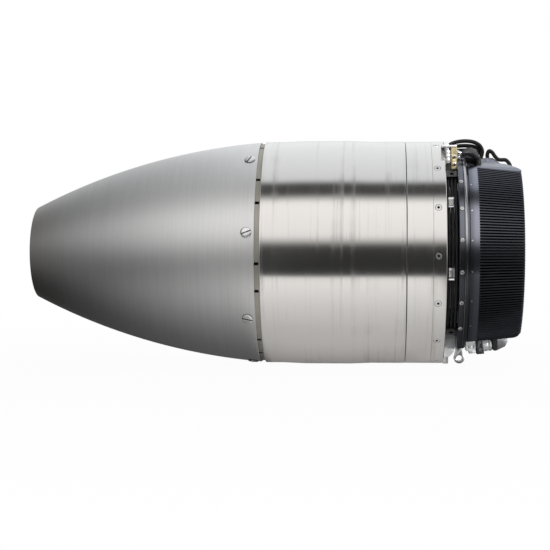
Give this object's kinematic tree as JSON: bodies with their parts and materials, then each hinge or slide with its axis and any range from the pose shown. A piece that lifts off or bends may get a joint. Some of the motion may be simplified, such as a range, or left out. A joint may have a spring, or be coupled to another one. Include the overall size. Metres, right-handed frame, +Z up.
{
  "type": "turbojet engine",
  "caption": "Small turbojet engine with a curved brushed nozzle, polished round case, black finned front cover and a spinning spool of compressor, shaft and turbine inside",
  "frame": {"origin": "on the engine axis, inside the raised belt of the combustion case", "axes": "+X along the engine axis toward the intake, +Z up, -Y is the side seen in the picture"},
  "size_m": [0.5387, 0.25, 0.2511],
  "materials": {
    "nozzle_steel": "brushed round the axis",
    "screw_steel": "bright plated",
    "flange_steel": "satin",
    "hot_steel": "heat tinted satin",
    "polished_steel": "polished",
    "bearing_steel": "ground",
    "bare_aluminium": "machined",
    "black_anodised": "black anodised, satin",
    "clip_steel": "bright",
    "brass": "machined",
    "copper_winding": "varnished",
    "hose_rubber": "satin",
    "cable_jacket": "satin",
    "black_plastic": "satin",
    "board_green": "coated board"
  },
  "bodies": {
    "engine": {"exhaust_nozzle": "nozzle_steel", "nozzle_screws": "screw_steel", "rear_flange": "flange_steel", "jet_pipe": "hot_steel", "tail_cone": "hot_steel", "combustion_case": "polished_steel", "case_front_ring": "polished_steel", "case_screws": "screw_steel", "guide_vanes": "hot_steel", "outer_liner": "hot_steel", "inner_liner": "hot_steel", "liner_dome": "hot_steel", "vaporiser_tubes": "hot_steel", "fuel_ring": "hot_steel", "igniter": "hot_steel", "shaft_tunnel": "bare_aluminium", "front_outer_race": "bearing_steel", "rear_outer_race": "bearing_steel", "preload_spring": "bearing_steel", "diffuser": "bare_aluminium", "compressor_cover": "bare_aluminium", "intake_duct": "black_anodised", "starter_housing": "black_anodised", "starter_stator": "copper_winding", "nose_cap": "black_anodised", "cover_flange": "black_anodised", "flange_screws": "screw_steel", "left_fin_shell": "black_anodised", "right_fin_shell": "black_anodised", "cover_roof": "black_anodised", "cover_belly": "black_anodised", "front_plate": "black_anodised", "cover_screws": "screw_steel", "control_board": "board_green", "bay_hoses": "hose_rubber", "hose_ports": "bare_aluminium", "hose_clips": "clip_steel", "valve_block": "brass", "fuel_valve": "clip_steel", "valve_bracket": "bare_aluminium", "valve_fittings": "screw_steel", "harness_hoses": "hose_rubber", "power_cable": "cable_jacket", "signal_cable": "cable_jacket", "pump_head": "bare_aluminium", "pump_strap": "black_plastic", "pump_motor": "clip_steel", "pump_plug": "black_plastic", "pump_screws": "screw_steel", "mounting_lugs": "bare_aluminium", "lifting_eye": "bare_aluminium"},
    "spool": {"shaft": "bearing_steel", "compressor_wheel": "bare_aluminium", "compressor_nut": "bearing_steel", "turbine_wheel": "hot_steel", "starter_rotor": "bearing_steel", "front_inner_race": "bearing_steel", "rear_inner_race": "bearing_steel"},
    "front_cage": {"front_ball_set": "bearing_steel"},
    "rear_cage": {"rear_ball_set": "bearing_steel"}
  },
  "joints": [
    {"name": "spool_spin", "type": "hinge", "parent": "engine", "child": "spool", "pos_m": [0, 0, 0], "axis": [1, 0, 0], "continuous": true},
    {"name": "front_cage_spin", "type": "hinge", "parent": "engine", "child": "front_cage", "pos_m": [0.072, 0, 0], "axis": [1, 0, 0], "continuous": true},
    {"name": "rear_cage_spin", "type": "hinge", "parent": "engine", "child": "rear_cage", "pos_m": [-0.052, 0, 0], "axis": [1, 0, 0], "continuous": true}
  ],
  "couplings": [
    {"joint": "front_cage_spin", "follows": "spool_spin", "ratio": 0.397},
    {"joint": "rear_cage_spin", "follows": "spool_spin", "ratio": 0.397}
  ]
}
